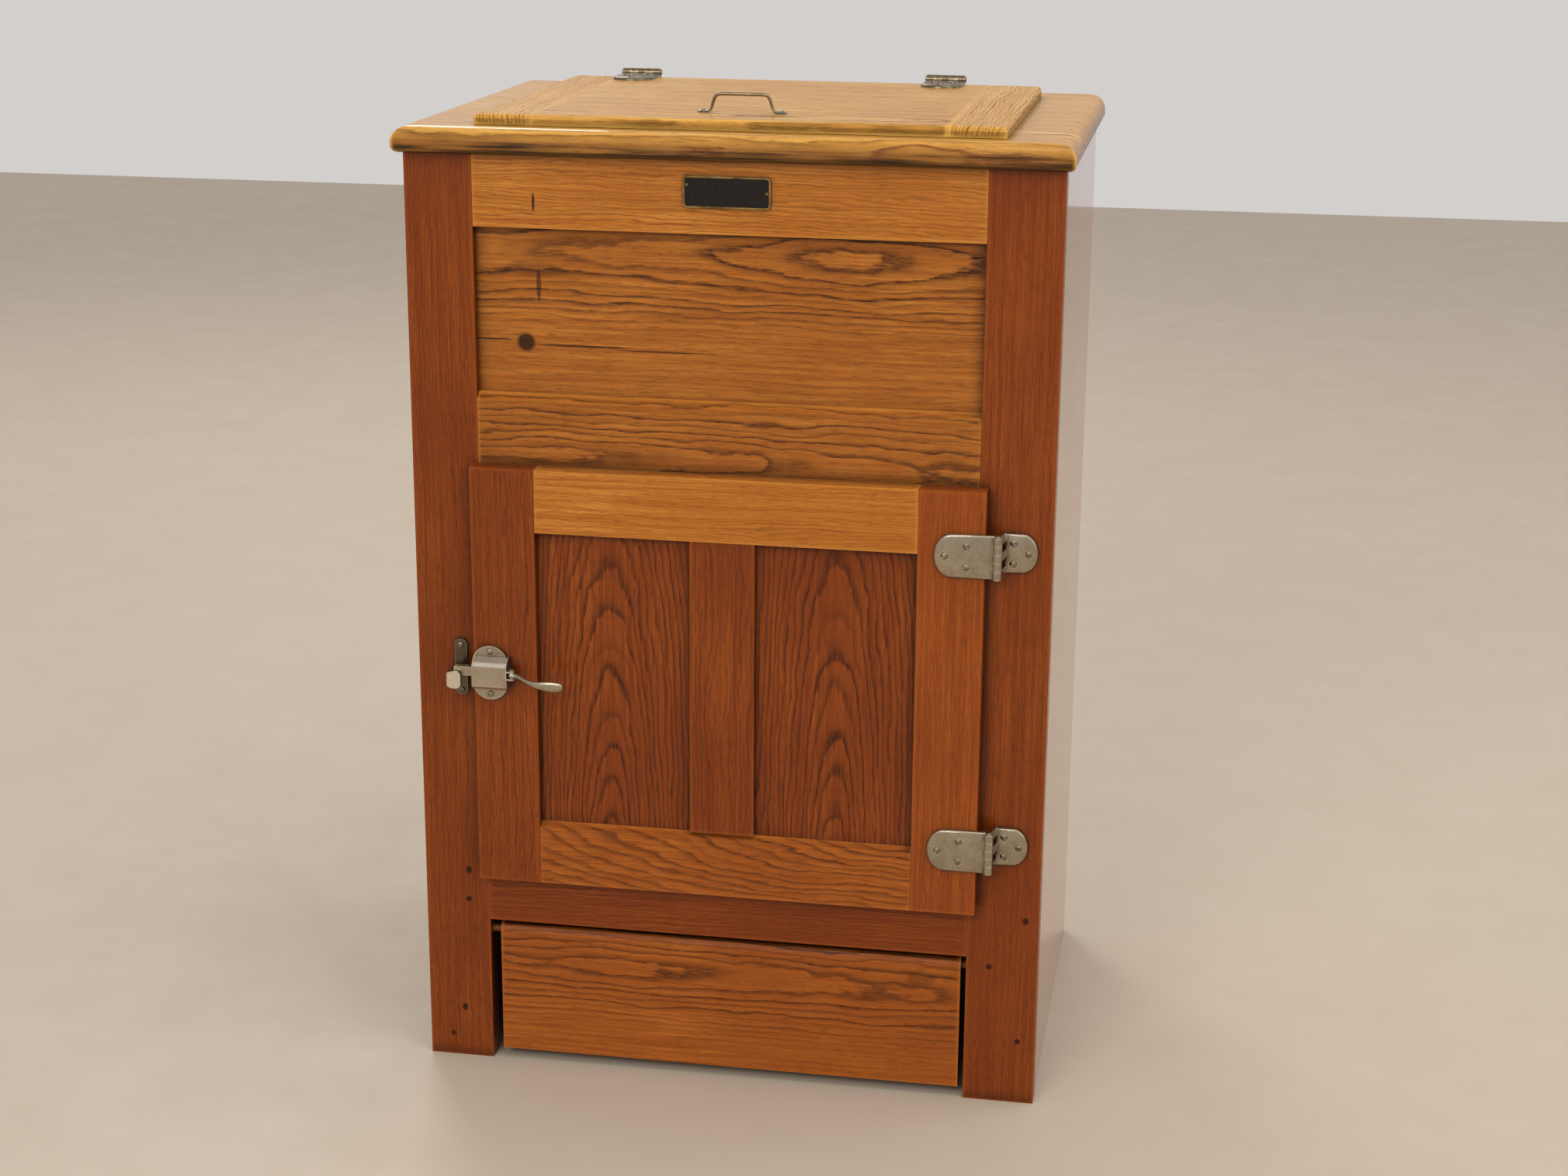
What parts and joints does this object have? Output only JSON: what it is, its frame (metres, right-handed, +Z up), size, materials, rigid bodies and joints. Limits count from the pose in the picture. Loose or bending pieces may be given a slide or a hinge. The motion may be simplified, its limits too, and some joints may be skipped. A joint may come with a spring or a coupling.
{
  "type": "icebox",
  "caption": "Small oak icebox: panelled case with a hinged lid over the ice chamber, a latched door to the food chamber and a kick flap over the drip pan.",
  "frame": {"origin": "middle of the footprint, on the floor", "axes": "+Z up, the front faces -Y, +X is the right side seen from the front"},
  "size_m": [0.6274, 0.484, 0.9632],
  "materials": {
    "warm_oak": "varnished, reddish brown, open grain",
    "golden_oak": "varnished, golden brown, open grain",
    "plain_pine": "unfinished softwood",
    "galvanised_sheet": "dull galvanised sheet",
    "cork_fill": "pressed cork",
    "felt": "dense felt",
    "black_enamel": "black enamel with a raised metal border",
    "worn_nickel": "nickel plate worn to brass",
    "dark_bronze": "darkened bronze plate"
  },
  "bodies": {
    "case": {"left_stile": "warm_oak", "right_stile": "warm_oak", "top_rail": "golden_oak", "upper_panel": "golden_oak", "mid_rail": "golden_oak", "lower_rail": "warm_oak", "left_side_front_board": "warm_oak", "left_side_rear_board": "warm_oak", "right_side_front_board": "warm_oak", "right_side_rear_board": "warm_oak", "back_panel": "plain_pine", "bottom_board": "plain_pine", "top_board": "golden_oak", "door_jamb": "plain_pine", "case_insulation": "cork_fill", "ice_chamber_liner": "galvanised_sheet", "ice_rack": "plain_pine", "food_chamber_liner": "galvanised_sheet", "food_shelf": "galvanised_sheet", "drain_pipe": "galvanised_sheet", "drain_trap": "galvanised_sheet", "nameplate": "black_enamel", "latch_strike": "dark_bronze", "upper_hinge_frame_leaf": "worn_nickel", "upper_hinge_pin": "worn_nickel", "lower_hinge_frame_leaf": "worn_nickel", "lower_hinge_pin": "worn_nickel", "left_lid_hinge_board_leaf": "dark_bronze", "left_lid_hinge_pin": "dark_bronze", "right_lid_hinge_board_leaf": "dark_bronze", "right_lid_hinge_pin": "dark_bronze"},
    "door": {"door_left_stile": "warm_oak", "door_right_stile": "warm_oak", "door_top_rail": "golden_oak", "door_bottom_rail": "golden_oak", "door_mullion": "warm_oak", "door_left_panel": "warm_oak", "door_right_panel": "warm_oak", "door_liner": "galvanised_sheet", "door_insulation": "cork_fill", "door_gasket": "felt", "upper_hinge_door_leaf": "worn_nickel", "lower_hinge_door_leaf": "worn_nickel", "latch_case": "worn_nickel", "latch_pin": "worn_nickel", "latch_spring": "dark_bronze"},
    "lever": {"latch_lever": "worn_nickel"},
    "bolt": {"latch_bolt": "worn_nickel"},
    "lid": {"lid_field": "golden_oak", "lid_left_end": "golden_oak", "lid_right_end": "golden_oak", "lid_liner": "plain_pine", "lid_pull": "worn_nickel", "left_lid_hinge_lid_leaf": "dark_bronze", "right_lid_hinge_lid_leaf": "dark_bronze"},
    "flap": {"kick_flap": "warm_oak"},
    "pan": {"drip_pan": "galvanised_sheet"}
  },
  "joints": [
    {"name": "door_hinge", "type": "hinge", "parent": "case", "child": "door", "pos_m": [0.256, -0.218, 0.413], "axis": [0, 0, 1], "range_deg": [0, 170]},
    {"name": "lever_pivot", "type": "hinge", "parent": "door", "child": "lever", "pos_m": [-0.2041, -0.2252, 0.419], "axis": [0, 0, -1], "range_deg": [0, 35], "stiffness_Nm_per_rad": 0.05, "springref_deg": -5.73},
    {"name": "bolt_slide", "type": "slide", "parent": "door", "child": "bolt", "axis": [1, 0, 0], "range_m": [0, 0.0049]},
    {"name": "lid_hinge", "type": "hinge", "parent": "case", "child": "lid", "pos_m": [0.003, 0.216, 0.948], "axis": [-1, 0, 0], "range_deg": [0, 100]},
    {"name": "flap_hinge", "type": "hinge", "parent": "case", "child": "flap", "pos_m": [0, -0.184, 0.138], "axis": [-1, 0, 0], "range_deg": [0, 85]},
    {"name": "pan_slide", "type": "slide", "parent": "case", "child": "pan", "axis": [0, -1, 0], "range_m": [0, 0.171]}
  ],
  "couplings": [
    {"joint": "bolt_slide", "follows": "lever_pivot", "m_per_rad": 0.0079},
    {"joint": "pan_slide", "follows": "flap_hinge", "m_per_rad": 0.115}
  ]
}
